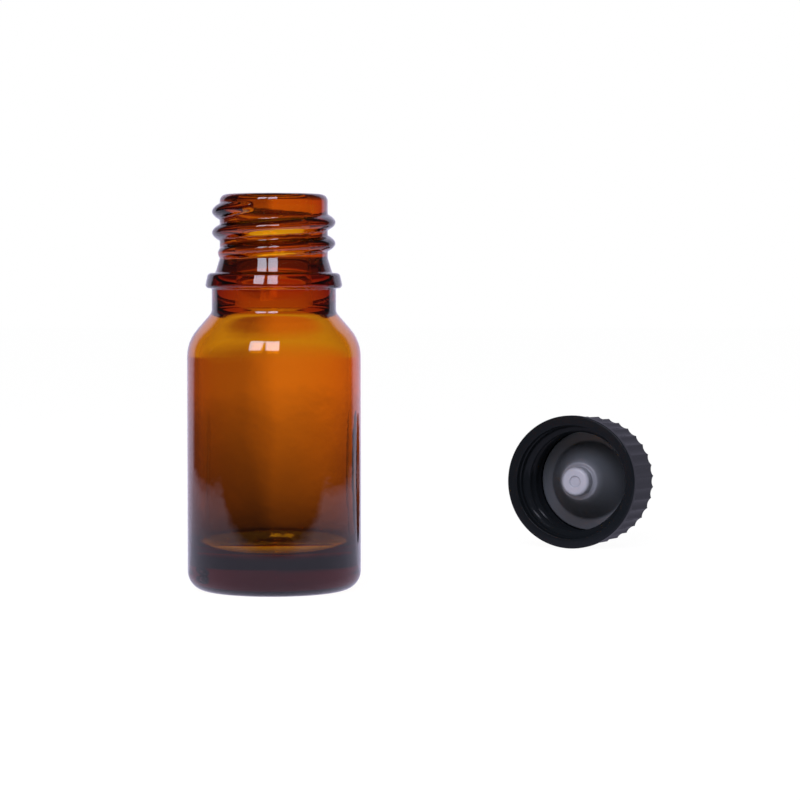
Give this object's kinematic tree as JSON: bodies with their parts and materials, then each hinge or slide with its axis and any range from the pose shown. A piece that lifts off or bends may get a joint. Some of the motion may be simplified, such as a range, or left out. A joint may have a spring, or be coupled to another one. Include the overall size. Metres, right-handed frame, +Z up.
{
  "type": "dropper bottle",
  "caption": "Small round amber glass dropper bottle with a collared screw neck, its ribbed black screw cap with cone liner taken off and laid beside it.",
  "frame": {"origin": "middle of the bottle's base, on the surface it stands on", "axes": "+Z up along the bottle's axis, out of its mouth; the cap lies at +X, behind, with its mouth turned to -Y"},
  "size_m": [0.0727, 0.0867, 0.0565],
  "materials": {
    "amber_glass": "polished, clear amber",
    "black_plastic": "satin gloss, moulded",
    "liner_plastic": "soft translucent polyethylene"
  },
  "bodies": {
    "bottle": {"bottle": "amber_glass"},
    "cap": {"screw_cap": "black_plastic"},
    "liner": {"cone_liner": "liner_plastic"}
  },
  "joints": [
    {"name": "cap_lift", "type": "slide", "parent": "bottle", "child": "cap", "axis": [0, 0, 1], "range_m": [0, 0.065]},
    {"name": "liner_turn", "type": "hinge", "parent": "cap", "child": "liner", "pos_m": [0.046, 0.059, 0.01101], "axis": [-0.3744, -0.9267, 0.0337], "continuous": true}
  ]
}
